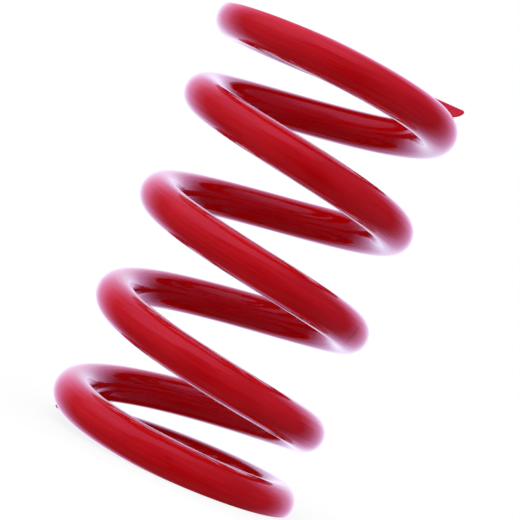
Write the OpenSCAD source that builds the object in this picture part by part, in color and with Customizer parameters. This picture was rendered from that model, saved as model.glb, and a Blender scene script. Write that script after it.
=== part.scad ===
// Coil spring of a shock absorber: one round wire, wound with open turns,
// closed in at both ends and ground flat there, so that it stands square.
// The lower ground face lies on z = 0 and the coil's axis is the Z axis.

/* [Coil] */
// Inside diameter of the coil, through which the damper passes
inside_d = 65; // [50:0.5:90]
// Diameter of the wire with its coating
wire_d = 13.25; // [9:0.25:16]
// Free length between the two ground faces
free_length = 150; // [130:1:260]
// Turns of wire from the lower tip to the upper tip
total_turns = 5.472; // [4.5:0.001:7.5]
// Hand of the winding
winding = "left"; // [left, right]
// Angle about the axis at which the lower tip lies, from +X
lower_tip_angle = 171; // [0:1:359]

/* [Ground ends] */
// Turns at the lower end that stay closed before the coil opens
lower_closed_turns = 0.735; // [0.5:0.005:1]
// Turns at the upper end that stay closed before the coil opens
upper_closed_turns = 0.68; // [0.5:0.005:1]
// Turns over which the coil opens from closed to its full pitch
opening_turns = 0.46; // [0.3:0.01:1]
// Gap between each tip and the turn beside it
tip_gap = 1.2; // [0.2:0.1:3]
// Thickness that grinding leaves at the lower tip
lower_tip = 3.1; // [2:0.05:6]
// Thickness that grinding leaves at the upper tip
upper_tip = 4.35; // [2:0.05:6]
// Lean of the slanted cut at each tip, from square to the wire
tip_lean = 45; // [0:5:60]

/* [Smoothness] */
// Flats around the wire
wire_sides = 18; // [12:2:24]
// Steps along each turn
turn_steps = 40; // [32:4:48]

/* [Hidden] */
coat_red = [0.68, 0.02, 0.05];
full_turn = 360;
wire_r = wire_d / 2;
coil_r = inside_d / 2 + wire_r;
outside_r = coil_r + wire_r;
hand = winding == "left" ? -1 : 1;
half_turns = total_turns / 2;
upper_tip_angle = lower_tip_angle + hand * full_turn * total_turns;
// Rise over the first turn from a tip, which leaves the gap between the tip and the turn beside it
first_rise = wire_d + tip_gap;
// Turns' worth of full pitch in that first turn, at each end
lower_opened = opened(1, lower_closed_turns);
upper_opened = opened(1, upper_closed_turns);
// All turns' worth of closed pitch at each end, against what the first turn holds of it
lower_worth = (lower_closed_turns + opening_turns / 2) / (1 - lower_opened);
upper_worth = (upper_closed_turns + opening_turns / 2) / (1 - upper_opened);
// Full pitch that fills the free length; grinding takes the wire's centre at each tip past its face
active_pitch = (free_length + wire_d - lower_tip - upper_tip - first_rise * (lower_worth + upper_worth))
    / (total_turns - lower_closed_turns - upper_closed_turns - opening_turns
        - lower_opened * lower_worth - upper_opened * upper_worth);
// Closed pitch at each end, which makes up the first turn's rise
lower_pitch = (first_rise - active_pitch * lower_opened) / (1 - lower_opened);
upper_pitch = (first_rise - active_pitch * upper_opened) / (1 - upper_opened);
// Room that the grinding and the slanted cuts leave clear around the wire
grind_margin = wire_d;
// How far the slanted cuts run on past the ground faces
cut_past = 1;

// Share of the way from the closed pitch to the full pitch, u turns in from a tip: 3x^2 - 2x^3
function opening_share(u, closed_turns) =
    let (x = min(max((u - closed_turns) / opening_turns, 0), 1))
    x * x * (3 - 2 * x);

// Turns' worth of full pitch gathered u turns in from a tip, the integral of opening_share
function opened(u, closed_turns) =
    let (x = min(max((u - closed_turns) / opening_turns, 0), 1))
    opening_turns * (x * x * x - x * x * x * x / 2)
    + max(u - closed_turns - opening_turns, 0);

// Rise of the wire's centre from a ground face, u turns in from its tip
function rise(u, closed_turns, tip, closed_pitch) =
    let (gathered = opened(u, closed_turns))
    tip - wire_r + closed_pitch * (u - gathered) + active_pitch * gathered;

// Height of the wire's centre t turns from the lower tip; each half follows its own end
function height(t) = t <= half_turns
    ? rise(t, lower_closed_turns, lower_tip, lower_pitch)
    : free_length - rise(total_turns - t, upper_closed_turns, upper_tip, upper_pitch);

// Pitch between closed and full, in millimetres a turn, u turns in from a tip
function end_pitch(u, closed_turns, closed_pitch) =
    closed_pitch + (active_pitch - closed_pitch) * opening_share(u, closed_turns);

// Pitch of the coil t turns from the lower tip
function pitch(t) = t <= half_turns
    ? end_pitch(t, lower_closed_turns, lower_pitch)
    : end_pitch(total_turns - t, upper_closed_turns, upper_pitch);

// One ring of points around the wire, square to its centre line, t turns from the lower tip
function wire_ring(t) =
    let (
        turn = lower_tip_angle + hand * full_turn * t,
        outward = [cos(turn), sin(turn), 0],
        around = hand * coil_r * 2 * PI * [-sin(turn), cos(turn), 0],
        along = around + [0, 0, pitch(t)],
        across = cross(along, outward) / norm(along),
        centre = coil_r * outward + [0, 0, height(t)]
    )
    [for (k = [0 : wire_sides - 1])
        let (a = full_turn * k / wire_sides)
        centre + wire_r * (cos(a) * outward + sin(a) * across)];

// Full round wire along the whole winding, with a square cut at each end
module wound_wire() {
    last = ceil(total_turns * turn_steps);
    points = [for (i = [0 : last]) each wire_ring(total_turns * i / last)];
    skin = [for (i = [0 : last - 1], k = [0 : wire_sides - 1])
        let (
            a = i * wire_sides + k,
            b = i * wire_sides + (k + 1) % wire_sides
        )
        each [[a, b, b + wire_sides], [a, b + wire_sides, a + wire_sides]]];
    lower_end = [for (k = [wire_sides - 1 : -1 : 0]) k];
    upper_end = [for (k = [0 : wire_sides - 1]) last * wire_sides + k];
    polyhedron(points, [each skin, lower_end, upper_end]);
}

// Wedge that a slanted cut takes off a tip, from its round side at round_z back to past its ground face;
// way is the turning sense in which the wire ends there
module tip_cut(turn, round_z, past_z, way) {
    reach = abs(past_z - round_z) * tan(tip_lean);
    rotate([0, 0, turn])
    translate([coil_r - grind_margin, 0, 0])
    rotate([90, 0, 90])
    linear_extrude(height = 2 * grind_margin)
    polygon([
        [0, round_z],
        [-way * reach, past_z],
        [way * grind_margin, past_z],
        [way * grind_margin, round_z]
    ]);
}

// The wound wire, ground off square at both faces and cut at a slant at both tips
module coil_spring() {
    color(coat_red)
    difference() {
        intersection() {
            wound_wire();
            cylinder(r = outside_r + grind_margin, h = free_length, $fn = 96);
        }
        tip_cut(lower_tip_angle, lower_tip, -cut_past, -hand);
        tip_cut(upper_tip_angle, free_length - upper_tip, free_length + cut_past, hand);
    }
}

coil_spring();
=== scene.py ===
"""Looks of a shock absorber's coil spring: the wound wire with its gloss red coat, and the studio."""
import math

import bpy
import numpy as np
from bpy.props import FloatProperty, FloatVectorProperty, IntProperty, PointerProperty
from mathutils import Matrix, Vector


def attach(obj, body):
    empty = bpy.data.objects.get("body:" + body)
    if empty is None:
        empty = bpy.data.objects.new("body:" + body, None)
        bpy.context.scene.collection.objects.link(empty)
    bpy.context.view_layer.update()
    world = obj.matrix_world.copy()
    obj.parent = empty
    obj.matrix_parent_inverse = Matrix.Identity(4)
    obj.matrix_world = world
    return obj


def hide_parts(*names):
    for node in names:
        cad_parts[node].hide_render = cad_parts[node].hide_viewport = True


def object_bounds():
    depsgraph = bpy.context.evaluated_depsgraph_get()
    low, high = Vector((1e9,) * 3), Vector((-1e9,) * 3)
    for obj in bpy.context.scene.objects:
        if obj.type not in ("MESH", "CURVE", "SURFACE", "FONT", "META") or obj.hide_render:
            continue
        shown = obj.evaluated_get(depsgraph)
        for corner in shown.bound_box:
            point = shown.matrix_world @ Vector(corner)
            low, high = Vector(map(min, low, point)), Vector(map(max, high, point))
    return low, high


bl_info = {
    "name": "Coil Spring",
    "version": (1, 0, 0),
    "blender": (4, 5, 0),
    "location": "View3D > Sidebar > Spring",
    "description": "Builds the coated coil spring of a shock absorber and a studio around it",
    "category": "Object",
}

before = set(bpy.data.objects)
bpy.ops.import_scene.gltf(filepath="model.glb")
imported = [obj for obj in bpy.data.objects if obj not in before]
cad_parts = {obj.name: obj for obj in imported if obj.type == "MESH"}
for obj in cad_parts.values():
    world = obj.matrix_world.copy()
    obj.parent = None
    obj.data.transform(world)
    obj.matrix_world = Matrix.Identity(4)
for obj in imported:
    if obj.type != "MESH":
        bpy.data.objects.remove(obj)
CAD_LOW, CAD_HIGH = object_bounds()
MM = 0.001
FULL_TURN = 2 * math.pi
PICTURE_PIXELS = 520
# Small dark marks in the coat, a nick on the lowest turn and a faint darker line across the third,
# each with its middle and its reach in millimetres and its turn in degrees
DARK_COAT_MARKS = (
    ((0, -45.6, 7.2), (2.0, 1.5, 0.42), (0, 4, 0)),
    ((39.2, -21, 66), (0.7, 9, 9), (0, 16, -4)),
)
# Share of its reach within which a mark is full, before it fades out
MARK_FULL = 0.4
# Share of its radius that an edge keeps where the rounding of a cut tip draws it in
LEAST_EDGE = 0.05


def srgb(code):
    """Linear red, green and blue of an sRGB hex colour, by the standard's two-part curve."""
    values = np.array([int(code[i:i + 2], 16) for i in (0, 2, 4)]) / 255
    linear = np.where(values <= 0.04045, values / 12.92, ((values + 0.055) / 1.055) ** 2.4)
    return tuple(float(v) for v in linear)


class SpringSizes(bpy.types.PropertyGroup):
    """Sizes of the wound wire, as the solid has them, and of its rounded edges and its mesh."""

    outside_d: FloatProperty(
        name="Outside diameter", description="Diameter over the outside of the coil",
        default=2 * min(CAD_HIGH.x, CAD_HIGH.y, -CAD_LOW.x, -CAD_LOW.y), unit="LENGTH")
    free_length: FloatProperty(
        name="Free length", description="Length between the two ground faces",
        default=CAD_HIGH.z - CAD_LOW.z, unit="LENGTH")
    wire_d: FloatProperty(
        name="Wire diameter", description="Diameter of the wire with its coat",
        default=13.25 * MM, unit="LENGTH")
    total_turns: FloatProperty(
        name="Turns", description="Turns of wire from the lower tip to the upper tip", default=5.472)
    lower_tip_angle: FloatProperty(
        name="Lower tip", description="Angle about the axis at which the lower tip lies, from +X",
        default=math.radians(171), subtype="ANGLE")
    lower_closed_turns: FloatProperty(
        name="Lower closed turns", description="Turns at the lower end that stay closed", default=0.735)
    upper_closed_turns: FloatProperty(
        name="Upper closed turns", description="Turns at the upper end that stay closed", default=0.68)
    opening_turns: FloatProperty(
        name="Opening turns", description="Turns over which the coil opens to its full pitch",
        default=0.46)
    tip_gap: FloatProperty(
        name="Tip gap", description="Gap between each tip and the turn beside it",
        default=1.2 * MM, unit="LENGTH")
    lower_tip: FloatProperty(
        name="Lower tip thickness", description="Thickness that grinding leaves at the lower tip",
        default=3.1 * MM, unit="LENGTH")
    upper_tip: FloatProperty(
        name="Upper tip thickness", description="Thickness that grinding leaves at the upper tip",
        default=4.35 * MM, unit="LENGTH")
    tip_lean: FloatProperty(
        name="Tip lean", description="Lean of the slanted cut at each tip, from square to the wire",
        default=math.radians(45), subtype="ANGLE")
    edge_round: FloatProperty(
        name="Edge rounding", description="Radius of the coat over the edges of the ground faces",
        default=0.35 * MM, unit="LENGTH")
    tip_edge_round: FloatProperty(
        name="Tip edge rounding", description="Radius that those edges grow to at the tips",
        default=0.7 * MM, unit="LENGTH")
    cut_round: FloatProperty(
        name="Cut rounding", description="Radius of the coat over the edges of the cut tips",
        default=0.5 * MM, unit="LENGTH")
    rings_per_turn: IntProperty(
        name="Rings in a turn", description="Rings of points along each turn", default=120)
    end_rings: IntProperty(
        name="Rings on a cut edge", description="Rings of points over the rounded edge of each cut tip",
        default=7)
    ring_points: IntProperty(
        name="Points in a ring", description="Points around the wire, an even number", default=96)
    flat_points: IntProperty(
        name="Points on a flat", description="Points of a ring on its flat and corners, an even number",
        default=8)


class CoatLook(bpy.types.PropertyGroup):
    """Colours and surface of the coat."""

    red: FloatVectorProperty(
        name="Red", description="Main colour of the coat", subtype="COLOR", size=3,
        default=srgb("AE0E13"))
    deep_red: FloatVectorProperty(
        name="Deep red", description="Colour where the coat is a little thicker", subtype="COLOR",
        size=3, default=srgb("A40405"))
    # Painted shade: a darker red on the inside of the coil, where less light reaches
    shaded_inner_red: FloatVectorProperty(
        name="Inner red", description="Colour on the inside of the coil, which the powder reaches least",
        subtype="COLOR", size=3, default=srgb("A00204"))
    inner_shade_start: FloatProperty(
        name="Inner red start", description="How far outside the wire's centre the inner red begins",
        default=1.5 * MM, unit="LENGTH")
    inner_shade_full: FloatProperty(
        name="Inner red full", description="How far inside the wire's centre the inner red is full",
        default=4 * MM, unit="LENGTH")
    # Colour of the small dark marks: the nick on the lowest turn and the faint line across the third
    mark_red: FloatVectorProperty(
        name="Mark red", description="Colour in the small marks of handling", subtype="COLOR", size=3,
        default=srgb("900205"))
    cloud_size: FloatProperty(
        name="Cloud size", description="Size of the slow changes in the coat's colour",
        default=18 * MM, unit="LENGTH")
    peel_size: FloatProperty(
        name="Orange peel size", description="Width of a dimple in the flowed coat",
        default=2.6 * MM, unit="LENGTH")
    peel_depth: FloatProperty(
        name="Orange peel depth", description="Depth of the dimples", default=0.004 * MM,
        unit="LENGTH")
    # The lines of drawing are really finer, and are as coarse and as deep here as they need to show
    streak_width: FloatProperty(
        name="Streak width", description="Width of the lines that wire drawing leaves under the coat",
        default=1.3 * MM, unit="LENGTH")
    streak_length: FloatProperty(
        name="Streak length", description="Length of those lines along the wire",
        default=22 * MM, unit="LENGTH")
    streak_depth: FloatProperty(
        name="Streak depth", description="Depth of those lines", default=0.11 * MM, unit="LENGTH")


class StudioLook(bpy.types.PropertyGroup):
    """The camera, the pale floor and the light."""

    distance: FloatProperty(
        name="Camera distance", description="From the camera to the spring's centre",
        default=0.678, unit="LENGTH")
    elevation: FloatProperty(
        name="Camera elevation", description="Angle of the camera above the spring's centre",
        default=math.radians(1.38), subtype="ANGLE")
    roll: FloatProperty(
        name="Camera roll", description="Lean of the spring's axis to the right in the picture",
        default=math.radians(23.85), subtype="ANGLE")
    focal_pixels: FloatProperty(
        name="Focal length in pixels", description="Focal length in pixels of the picture",
        default=1997.8)
    centre_pixels: FloatVectorProperty(
        name="Centre in pixels", description="Where the spring's centre lies in the picture", size=2,
        default=(256.15, 259.49))
    floor_size: FloatProperty(
        name="Floor size", description="Half the width of the floor", default=0.6, unit="LENGTH")
    floor_front: FloatProperty(
        name="Floor front", description="How far the floor reaches in front of the coil",
        default=14 * MM, unit="LENGTH")
    floor_white: FloatProperty(
        name="Floor white", description="Share of plain white over the paper, close to the axis",
        default=0.85, subtype="FACTOR")
    shade_start: FloatProperty(
        name="Shade start", description="Distance from the axis at which that share begins to grow",
        default=30 * MM, unit="LENGTH")
    shade_end: FloatProperty(
        name="Shade end", description="Distance from the axis from which the floor is all white",
        default=120 * MM, unit="LENGTH")


def turns_opened(turns_in, closed_turns, opening_turns):
    """Turns' worth of full pitch gathered that many turns in from a tip.

    The share of the full pitch goes from 0 to 1 as 3x^2 - 2x^3 over the opening turns, and this is its
    integral: x^3 - x^4 / 2 times the opening turns, and then one for one.
    """
    x = np.clip((turns_in - closed_turns) / opening_turns, 0, 1)
    past = np.maximum(turns_in - closed_turns - opening_turns, 0)
    return opening_turns * (x ** 3 - x ** 4 / 2) + past


def wire_height(turns, sizes):
    """Height of the wire's centre that many turns from the lower tip.

    It climbs by an end's closed pitch for each closed turn and by the full pitch for each opened turn.
    The lower half is counted up from the lower face and the upper half down from the upper face. The
    closed pitch leaves the gap between a tip and the turn beside it, and the full pitch is what fills
    the free length.
    """
    closed = np.array([sizes.lower_closed_turns, sizes.upper_closed_turns])
    tips = np.array([sizes.lower_tip, sizes.upper_tip])
    first_rise = sizes.wire_d + sizes.tip_gap
    first_opened = turns_opened(1, closed, sizes.opening_turns)
    worth = (closed + sizes.opening_turns / 2) / (1 - first_opened)
    to_fill = sizes.free_length + sizes.wire_d - tips.sum() - first_rise * worth.sum()
    opened_turns = sizes.total_turns - closed.sum() - sizes.opening_turns
    full_pitch = to_fill / (opened_turns - (first_opened * worth).sum())
    closed_pitch = (first_rise - full_pitch * first_opened) / (1 - first_opened)

    def rise(turns_in, end):
        opened = turns_opened(turns_in, closed[end], sizes.opening_turns)
        return tips[end] - sizes.wire_d / 2 + closed_pitch[end] * (turns_in - opened) + full_pitch * opened

    from_high = sizes.free_length - rise(sizes.total_turns - turns, 1)
    return np.where(turns <= sizes.total_turns / 2, rise(turns, 0), from_high)


def coil_radius(sizes):
    """Radius of the wire's centre line about the axis: half of what the wire leaves of the outside."""
    return (sizes.outside_d - sizes.wire_d) / 2


def wire_path(turns, sizes):
    """Centre line and frame of the wire: a left-hand helix about Z.

    The angle falls by a full turn for each turn. Outward points away from the axis, along follows the
    line by its central difference, and across is square to both and points up.
    """
    coil_r = coil_radius(sizes)
    step = 1e-4

    def centre(at):
        angle = sizes.lower_tip_angle - FULL_TURN * at
        return np.stack([coil_r * np.cos(angle), coil_r * np.sin(angle), wire_height(at, sizes)], 1)

    inside = np.clip(turns, step, sizes.total_turns - step)
    along = centre(inside + step) - centre(inside - step)
    along /= np.linalg.norm(along, axis=1, keepdims=True)
    angle = sizes.lower_tip_angle - FULL_TURN * turns
    outward = np.stack([np.cos(angle), np.sin(angle), np.zeros_like(angle)], 1)
    across = np.cross(outward, along)
    across /= np.linalg.norm(across, axis=1, keepdims=True)
    across *= np.sign(across[:, 2:])
    return centre(turns), outward, across, along


def ground_section(radius, floor, edge, points, low_points):
    """Sections of round wire, each cut flat at its own distance below its centre.

    A section is a circle, a flat and two rounded corners. The corner's centre is where a circle and a
    flat moved in by the edge radius meet, at an angle from straight down that is 0 where the flat
    clears the wire. The low points, which come first, lie on the flat and its corners, and where the
    flat is narrower than their share of the circle they stay on the circle, cut off at the flat.
    Returns the sideways and upward places and normals, as arrays of sections by points.
    """
    inner = radius - edge
    corner = np.arccos(np.clip((floor - edge) / inner, -1, 1))
    share = np.pi * low_points / points
    wide = corner >= share
    reach = np.maximum(corner, share)
    round_points = points - low_points
    turn = reach + (FULL_TURN - 2 * reach) * np.arange(round_points + 1) / round_points
    round_x, round_up = np.sin(turn), -np.cos(turn)

    half = low_points // 2
    fall = np.concatenate([np.linspace(-1, 0, half), [0], np.linspace(0, 1, half)])
    side = np.sign(np.arange(low_points + 1) - half)
    tilt = fall * corner
    flat_x = side * inner * np.sin(corner) + edge * np.sin(tilt)
    flat_up = -inner * np.cos(corner) - edge * np.cos(tilt)
    spread = np.linspace(-share, share, low_points + 1)
    bare_up = -radius * np.cos(spread)
    low_x = np.where(wide, flat_x, radius * np.sin(spread))
    low_up = np.where(wide, flat_up, np.maximum(bare_up, -floor))
    lean = np.where(wide, tilt, np.where(bare_up > -floor, spread, 0))

    x = np.concatenate([low_x, radius * round_x[:, 1:-1]], 1)
    up = np.concatenate([low_up, radius * round_up[:, 1:-1]], 1)
    normal_x = np.concatenate([np.sin(lean), round_x[:, 1:-1]], 1)
    normal_up = np.concatenate([-np.cos(lean), round_up[:, 1:-1]], 1)
    return x, up, normal_x, normal_up


def near_tip(turns, sizes):
    """Share that falls evenly from 1 at each tip to 0 at one wire's width along the wire from it."""
    turns_in = np.minimum(turns, sizes.total_turns - turns)[:, None]
    return np.clip(1 - FULL_TURN * coil_radius(sizes) * turns_in / sizes.wire_d, 0, 1)


def lean_tips(places, normals, along, turns, sizes):
    """Leans both cut ends back, from their round side to their ground face.

    A point is turned back about Z by its height from the round side times the tangent of the lean: by
    all of it at the tip, and by less and less until nothing one wire's width further in. A normal that
    looks out of the end tips over with it.
    """
    upper = (turns > sizes.total_turns / 2)[:, None]
    way = np.where(upper, 1.0, -1.0)
    round_side = np.where(upper, sizes.free_length - sizes.upper_tip, sizes.lower_tip)
    slope = math.tan(sizes.tip_lean) * near_tip(turns, sizes)
    back = slope * np.maximum(way * (places[..., 2] - round_side), 0)
    angle = way * back / np.hypot(places[..., 0], places[..., 1])
    cosine, sine = np.cos(angle), np.sin(angle)
    tipped = normals.copy()
    tipped[..., 2] += slope * np.sum(normals * along, 2)
    tipped /= np.linalg.norm(tipped, axis=2, keepdims=True)

    def turned_back(vectors):
        x, y, z = np.moveaxis(vectors, 2, 0)
        return np.stack([x * cosine - y * sine, x * sine + y * cosine, z], 2)

    return turned_back(places), turned_back(tipped)


def coil_surface(sizes):
    """Places, normals and unwound places of the whole wire, as rings by points.

    Ground sections are carried along the helix. Near each tip the rings draw in on a quarter circle,
    which rounds the edge of the cut, and then the cut leans back. Sections of the upper half are turned
    half round, so that their flats face up, and their points are counted from the opposite side to
    stay in line.
    """
    cut = sizes.cut_round
    turn_length = FULL_TURN * coil_radius(sizes)
    end_angle = np.linspace(0, np.pi / 2, sizes.end_rings)
    end_turns = cut * (1 - np.sin(end_angle)) / turn_length
    count = round(sizes.total_turns * sizes.rings_per_turn)
    middle = np.linspace(end_turns[0], sizes.total_turns - end_turns[0], count + 1)[1:-1]
    turns = np.concatenate([end_turns[::-1], middle, sizes.total_turns - end_turns])
    bend = np.concatenate([-end_angle[::-1], np.zeros_like(middle), end_angle])[:, None]

    centre, outward, across, along = wire_path(turns, sizes)
    upper = (turns > sizes.total_turns / 2)[:, None]
    height = centre[:, 2:]
    floor = np.where(upper, sizes.free_length - height, height) / across[:, 2:]
    edge = sizes.edge_round + (sizes.tip_edge_round - sizes.edge_round) * near_tip(turns, sizes)
    inset = cut * (1 - np.cos(bend))
    section = ground_section(
        sizes.wire_d / 2 - inset, floor - inset, np.maximum(edge - inset, edge * LEAST_EDGE),
        sizes.ring_points, sizes.flat_points)

    def turned_half_round(values):
        return np.where(upper, -np.roll(values, sizes.ring_points // 2, axis=1), values)

    x, up, normal_x, normal_up = (turned_half_round(v)[..., None] for v in section)
    outward, across, along = (v[:, None, :] for v in (outward, across, along))
    places = centre[:, None, :] + x * outward + up * across
    normals = normal_x * outward + normal_up * across
    bend = bend[..., None]
    normals = np.cos(bend) * normals + np.sin(bend) * along
    places, normals = lean_tips(places, normals, along, turns, sizes)
    length = np.broadcast_to(turn_length * turns[:, None, None], x.shape)
    return places, normals, np.concatenate([x, up, length], 2)


def ring_faces(rings, points):
    """Quads between neighbouring rings, closed around the wire, and one face over each end."""
    first = np.arange(rings - 1)[:, None] * points
    here = np.arange(points)[None, :]
    after = (here + 1) % points
    quads = np.stack([first + here, first + after, first + points + after, first + points + here], 2)
    caps = [np.arange(points)[::-1].tolist(), (np.arange(points) + (rings - 1) * points).tolist()]
    return quads.reshape(-1, 4).tolist() + caps


def add_node(tree, kind, links=None, values=None, **settings):
    """Adds a node of that kind, with its settings, socket values and links from other sockets."""
    node = tree.nodes.new(kind)
    for name, value in settings.items():
        setattr(node, name, value)
    for name, value in (values or {}).items():
        node.inputs[name].default_value = value
    for name, socket in (links or {}).items():
        tree.links.new(socket, node.inputs[name])
    return node


def red_powder_coat(look):
    """Gloss powder coat over drawn steel wire, sprayed dry, melted and flowed out.

    It gives the eye a deep even red with mirror-like reflections, which waver a little because the
    flowed coat keeps a fine orange peel and shows the long lines of the drawn wire under it. Slow
    clouds and those lines mottle the red a little. Painted shade makes the red deeper on the inside of
    the coil, where less light reaches. A few small marks darken it: a nick on the lowest turn and a
    faint line across the third.
    """
    material = bpy.data.materials.new("gloss_red_powder_coat_flowed")
    material.use_nodes = True
    tree = material.node_tree
    tree.nodes.clear()
    unwound = add_node(tree, "ShaderNodeAttribute", attribute_name="unwound_wire").outputs["Vector"]
    place = add_node(tree, "ShaderNodeTexCoord").outputs["Object"]

    clouds = add_node(
        tree, "ShaderNodeTexNoise", {"Vector": unwound},
        {"Scale": 1 / look.cloud_size, "Detail": 3.0, "Roughness": 0.5})
    stretched = add_node(
        tree, "ShaderNodeMapping", {"Vector": unwound},
        {"Scale": (1, 1, look.streak_width / look.streak_length)})
    streaks = add_node(
        tree, "ShaderNodeTexNoise", {"Vector": stretched.outputs["Vector"]},
        {"Scale": 1 / look.streak_width, "Detail": 2.0, "Roughness": 0.5})
    # Clouds and streaks add up to about 1, and this far either side of it goes from one red to the other
    spread = 0.2
    mottle = add_node(
        tree, "ShaderNodeMath", {0: clouds.outputs["Fac"], 1: streaks.outputs["Fac"]}, operation="ADD")
    depth = add_node(
        tree, "ShaderNodeMapRange", {"Value": mottle.outputs["Value"]},
        {"From Min": 1 - spread, "From Max": 1 + spread})
    outer = add_node(
        tree, "ShaderNodeMix", {0: depth.outputs["Result"]},
        {6: (*look.red, 1), 7: (*look.deep_red, 1)}, data_type="RGBA")
    # Painted shade: the red turns darker towards the inside of the coil
    sideways = add_node(tree, "ShaderNodeSeparateXYZ", {"Vector": unwound})
    inner = add_node(
        tree, "ShaderNodeMapRange", {"Value": sideways.outputs["X"]},
        {"From Min": look.inner_shade_start, "From Max": -look.inner_shade_full}, interpolation_type="SMOOTHSTEP")
    red_with_painted_shade = add_node(
        tree, "ShaderNodeMix", {0: inner.outputs["Result"], 6: outer.outputs[2]},
        {7: (*look.shaded_inner_red, 1)}, data_type="RGBA")

    marked = None
    for middle, reach, turn in DARK_COAT_MARKS:
        local = add_node(
            tree, "ShaderNodeMapping", {"Vector": place},
            {"Location": Vector(middle) * MM, "Rotation": [math.radians(a) for a in turn],
             "Scale": Vector(reach) * MM}, vector_type="TEXTURE")
        away = add_node(tree, "ShaderNodeVectorMath", {0: local.outputs["Vector"]}, operation="LENGTH")
        share = add_node(
            tree, "ShaderNodeMapRange", {"Value": away.outputs["Value"]},
            {"From Min": 1.0, "From Max": MARK_FULL}, interpolation_type="SMOOTHSTEP").outputs["Result"]
        if marked is not None:
            both = add_node(tree, "ShaderNodeMath", {0: marked, 1: share}, operation="MAXIMUM")
            share = both.outputs["Value"]
        marked = share
    colour = add_node(
        tree, "ShaderNodeMix", {0: marked, 6: red_with_painted_shade.outputs[2]},
        {7: (*look.mark_red, 1)}, data_type="RGBA")

    peel = add_node(
        tree, "ShaderNodeTexNoise", {"Vector": unwound},
        {"Scale": 1 / look.peel_size, "Detail": 1.0, "Roughness": 0.4})
    streak_bump = add_node(
        tree, "ShaderNodeBump", {"Height": streaks.outputs["Fac"]},
        {"Strength": 1.0, "Distance": look.streak_depth})
    peel_bump = add_node(
        tree, "ShaderNodeBump", {"Height": peel.outputs["Fac"], "Normal": streak_bump.outputs["Normal"]},
        {"Strength": 1.0, "Distance": look.peel_depth})

    # The coloured layer's roughness wavers with the clouds, under a clear resin skin that stays smooth
    gloss = add_node(
        tree, "ShaderNodeMapRange", {"Value": clouds.outputs["Fac"]},
        {"From Min": 0.3, "From Max": 0.7, "To Min": 0.025, "To Max": 0.045})
    coat = add_node(
        tree, "ShaderNodeBsdfPrincipled",
        {"Base Color": colour.outputs[2], "Roughness": gloss.outputs["Result"],
         "Normal": peel_bump.outputs["Normal"], "Coat Normal": peel_bump.outputs["Normal"]},
        {"IOR": 1.5, "Coat Weight": 1.0, "Coat Roughness": 0.015, "Coat IOR": 1.7})
    add_node(tree, "ShaderNodeOutputMaterial", {"Surface": coat.outputs["BSDF"]})
    return material


class SPRING_OT_coil(bpy.types.Operator):
    """Builds the coated coil spring in place of its solid"""

    bl_idname = "spring.coil"
    bl_label = "Coil spring"

    def execute(self, context):
        sizes = context.scene.spring_sizes
        places, normals, unwound = coil_surface(sizes)
        rings, points = places.shape[:2]
        mesh = bpy.data.meshes.new("coated_coil")
        mesh.from_pydata(places.reshape(-1, 3), [], ring_faces(rings, points))
        mesh.attributes.new("unwound_wire", "FLOAT_VECTOR", "POINT").data.foreach_set(
            "vector", unwound.astype(np.float32).ravel())
        mesh.polygons.foreach_set("use_smooth", np.ones(len(mesh.polygons), bool))
        mesh.normals_split_custom_set_from_vertices(normals.reshape(-1, 3))
        if mesh.validate():
            raise RuntimeError("the coil's mesh has faults")
        coil = bpy.data.objects.new("coated_coil", mesh)
        context.scene.collection.objects.link(coil)
        coil.data.materials.append(red_powder_coat(context.scene.spring_coat))
        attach(coil, "root")
        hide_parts("coil_spring")
        return {"FINISHED"}


def picture_axes(look):
    """Right, up and forward of the picture: the view leans over by the roll about its own line."""
    forward = Vector((0, math.cos(look.elevation), -math.sin(look.elevation)))
    level_right = Vector((1, 0, 0))
    level_up = level_right.cross(forward)
    right = math.cos(look.roll) * level_right + math.sin(look.roll) * level_up
    up = -math.sin(look.roll) * level_right + math.cos(look.roll) * level_up
    return right, up, forward


def add_camera(context, look, centre):
    """Camera at the picture's angle, with a small shift for where the spring lies in the picture."""
    right, up, forward = picture_axes(look)
    data = bpy.data.cameras.new("picture_camera")
    data.sensor_width = 36.0
    data.lens = data.sensor_width * look.focal_pixels / PICTURE_PIXELS
    data.shift_x = 0.5 - look.centre_pixels[0] / PICTURE_PIXELS
    data.shift_y = look.centre_pixels[1] / PICTURE_PIXELS - 0.5
    camera = bpy.data.objects.new("picture_camera", data)
    turn = Matrix((right, up, -forward)).transposed().to_4x4()
    camera.matrix_world = Matrix.Translation(centre - look.distance * forward) @ turn
    context.scene.collection.objects.link(camera)
    context.scene.camera = camera


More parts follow.
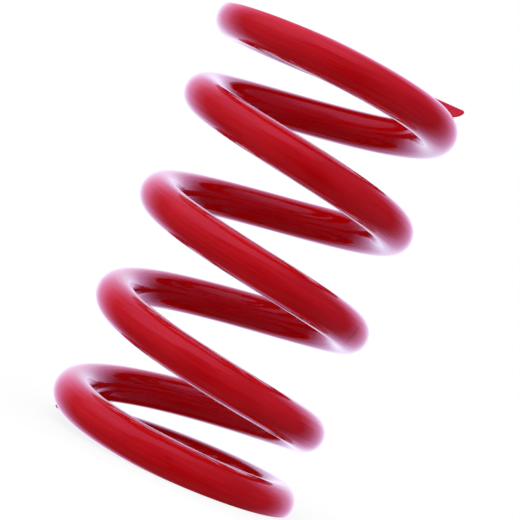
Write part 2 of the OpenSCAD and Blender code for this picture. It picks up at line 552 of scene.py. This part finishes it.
def studio_world(look):
    """Light of the studio, by direction in the picture's frame.

    The camera sees white all round. Reflections see a backdrop behind the spring, white in its middle
    and violet towards its edge, a soft box overhead, and a dim room whose ceiling, walls and table are
    a little lighter. All other light comes from a soft dome that is brighter from above.
    """
    right, up, forward = picture_axes(look)
    world = bpy.data.worlds.new("studio")
    world.use_nodes = True
    tree = world.node_tree
    tree.nodes.clear()
    direction = add_node(tree, "ShaderNodeTexCoord").outputs["Generated"]
    light_path = add_node(tree, "ShaderNodeLightPath")

    def facing(axis, start, end):
        """Share that goes from 0 to 1 as the angle from that axis goes from start to end, in degrees."""
        along = add_node(
            tree, "ShaderNodeVectorMath", {0: direction}, {1: axis}, operation="DOT_PRODUCT")
        share = add_node(
            tree, "ShaderNodeMapRange", {"Value": along.outputs["Value"]},
            {"From Min": math.cos(math.radians(start)), "From Max": math.cos(math.radians(end))},
            interpolation_type="SMOOTHSTEP")
        return share.outputs["Result"]

    def summed(base, lights):
        """Sum of a base colour and of lights, each a share by direction and its full colour."""
        total = None
        for share, colour in lights:
            links = {0: share}
            values = {7: (*colour, 1)}
            if total is None:
                values[6] = (*base, 1)
            else:
                links[6] = total
            mix = add_node(tree, "ShaderNodeMix", links, values, data_type="RGBA", blend_type="ADD")
            total = mix.outputs[2]
        return total

    # The backdrop's middle lies a little above the line of sight, and the soft box a little this way
    backdrop_rise = 0.035
    box_nearer = 0.21
    behind = (forward + backdrop_rise * up).normalized()
    overhead = (up - box_nearer * forward).normalized()
    in_front = -forward
    box_share = add_node(
        tree, "ShaderNodeMath", {0: facing(overhead, 57, 5), 1: facing(in_front, 38, 50)},
        operation="MULTIPLY")
    backdrop_edge = (facing(behind, 78, 45), (0.58, 0.24, 0.48))
    backdrop = (facing(behind, 60, 30), (0.32, 0.31, 0.49))
    backdrop_middle = (facing(behind, 40, 8), (0.13, 0.38, 0.25))
    soft_box = (box_share.outputs["Value"], (0.40, 0.15, 0.29))
    ceiling = (facing(up, 110, 60), (0.015, 0.025, 0.05))
    right_wall = (facing(right, 90, 30), (0.08, 0.03, 0.06))
    left_wall = (facing(-right, 90, 30), (0.08, 0.027, 0.043))
    table = (facing(-up, 50, 10), (0.0, 0.025, 0.03))
    dim_room = (0.02, 0.004, 0.017)
    reflected = summed(dim_room, (
        backdrop_edge, backdrop, backdrop_middle, soft_box, ceiling, right_wall, left_wall, table))
    from_all_round = (0.69, 0.69, 0.69)
    from_above = (facing(up, 180, 0), (0.42, 0.42, 0.42))
    from_overhead = (facing(up, 75, 20), (1.33, 1.33, 1.33))
    dome = summed(from_all_round, (from_above, from_overhead))
    mirrored = add_node(
        tree, "ShaderNodeMath",
        {0: light_path.outputs["Is Glossy Ray"], 1: light_path.outputs["Is Transmission Ray"]},
        operation="MAXIMUM")
    lit = add_node(
        tree, "ShaderNodeMix", {0: mirrored.outputs["Value"], 6: dome, 7: reflected}, data_type="RGBA")
    seen = add_node(
        tree, "ShaderNodeMix", {0: light_path.outputs["Is Camera Ray"], 6: lit.outputs[2]},
        {7: (1.0, 1.0, 1.0, 1)}, data_type="RGBA")
    shine = add_node(tree, "ShaderNodeBackground", {"Color": seen.outputs[2]})
    add_node(tree, "ShaderNodeOutputWorld", {"Surface": shine.outputs["Background"]})
    return world


def pale_floor_paper(look):
    """Matt white paper, smooth and unprinted: an even pale floor that shows only a soft shadow.

    What looks at it sees it as white, less so close to the spring, where its shadow lies.
    """
    material = bpy.data.materials.new("matt_white_paper")
    material.use_nodes = True
    tree = material.node_tree
    tree.nodes.clear()
    light_path = add_node(tree, "ShaderNodeLightPath")
    place = add_node(tree, "ShaderNodeTexCoord").outputs["Object"]
    from_axis = add_node(tree, "ShaderNodeVectorMath", {0: place}, operation="LENGTH")
    white_share = add_node(
        tree, "ShaderNodeMapRange", {"Value": from_axis.outputs["Value"]},
        {"From Min": look.shade_start, "From Max": look.shade_end, "To Min": look.floor_white},
        interpolation_type="SMOOTHSTEP")
    mirrored = add_node(
        tree, "ShaderNodeMath",
        {0: light_path.outputs["Is Glossy Ray"], 1: light_path.outputs["Is Transmission Ray"]},
        operation="MAXIMUM")
    looked_at = add_node(
        tree, "ShaderNodeMath",
        {0: mirrored.outputs["Value"], 1: light_path.outputs["Is Camera Ray"]}, operation="MAXIMUM")
    share = add_node(
        tree, "ShaderNodeMath",
        {0: looked_at.outputs["Value"], 1: white_share.outputs["Result"]}, operation="MULTIPLY")
    paper = add_node(tree, "ShaderNodeBsdfDiffuse", values={"Color": (*srgb("CACACA"), 1)})
    white = add_node(tree, "ShaderNodeEmission", values={"Color": (1, 1, 1, 1), "Strength": 1.0})
    mix = add_node(
        tree, "ShaderNodeMixShader",
        {0: share.outputs["Value"], 1: paper.outputs["BSDF"], 2: white.outputs["Emission"]})
    add_node(tree, "ShaderNodeOutputMaterial", {"Surface": mix.outputs["Shader"]})
    return material


def add_floor(context, look, sizes):
    """Flat floor just under the lower ground face, from close in front of the coil to far behind.

    It takes the coil's shadow. The wire doesn't mirror it, and it throws no light or shade on the wire.
    """
    front = -(sizes.outside_d / 2 + look.floor_front)
    side = look.floor_size
    below = -0.02 * MM
    corners = [(-side, front, below), (side, front, below), (side, side, below), (-side, side, below)]
    mesh = bpy.data.meshes.new("pale_floor")
    mesh.from_pydata(corners, [], [(0, 1, 2, 3)])
    floor = bpy.data.objects.new("pale_floor", mesh)
    floor.data.materials.append(pale_floor_paper(look))
    context.scene.collection.objects.link(floor)
    floor.visible_glossy = False
    floor.visible_diffuse = False
    floor.visible_shadow = False


class SPRING_OT_stage(bpy.types.Operator):
    """Sets up the camera, the pale floor and the soft studio light"""

    bl_idname = "spring.stage"
    bl_label = "Studio"

    def execute(self, context):
        scene = context.scene
        look = scene.spring_studio
        centre = Vector((0, 0, scene.spring_sizes.free_length / 2))
        add_camera(context, look, centre)
        add_floor(context, look, scene.spring_sizes)
        scene.world = studio_world(look)
        scene.view_settings.view_transform = "Standard"
        return {"FINISHED"}


class SPRING_PT_panel(bpy.types.Panel):
    """Sizes, coat and studio of the coil spring"""

    bl_idname = "SPRING_PT_panel"
    bl_label = "Coil Spring"
    bl_space_type = "VIEW_3D"
    bl_region_type = "UI"
    bl_category = "Spring"

    def draw(self, context):
        layout = self.layout
        for group in (context.scene.spring_sizes, context.scene.spring_coat, context.scene.spring_studio):
            column = layout.column(align=True)
            for name in group.__annotations__:
                column.prop(group, name)
        for operator in (SPRING_OT_coil, SPRING_OT_stage):
            layout.operator(operator.bl_idname)


CLASSES = (SpringSizes, CoatLook, StudioLook, SPRING_OT_coil, SPRING_OT_stage, SPRING_PT_panel)


def register():
    """Registers the classes and gives the scene its sizes, coat and studio."""
    for cls in CLASSES:
        bpy.utils.register_class(cls)
    bpy.types.Scene.spring_sizes = PointerProperty(type=SpringSizes)
    bpy.types.Scene.spring_coat = PointerProperty(type=CoatLook)
    bpy.types.Scene.spring_studio = PointerProperty(type=StudioLook)


def unregister():
    """Takes away what register added, in reverse."""
    del bpy.types.Scene.spring_studio
    del bpy.types.Scene.spring_coat
    del bpy.types.Scene.spring_sizes
    for cls in reversed(CLASSES):
        bpy.utils.unregister_class(cls)


def main():
    """Registers the classes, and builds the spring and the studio."""
    register()
    bpy.ops.spring.coil()
    bpy.ops.spring.stage()


if __name__ == "__main__":
    main()
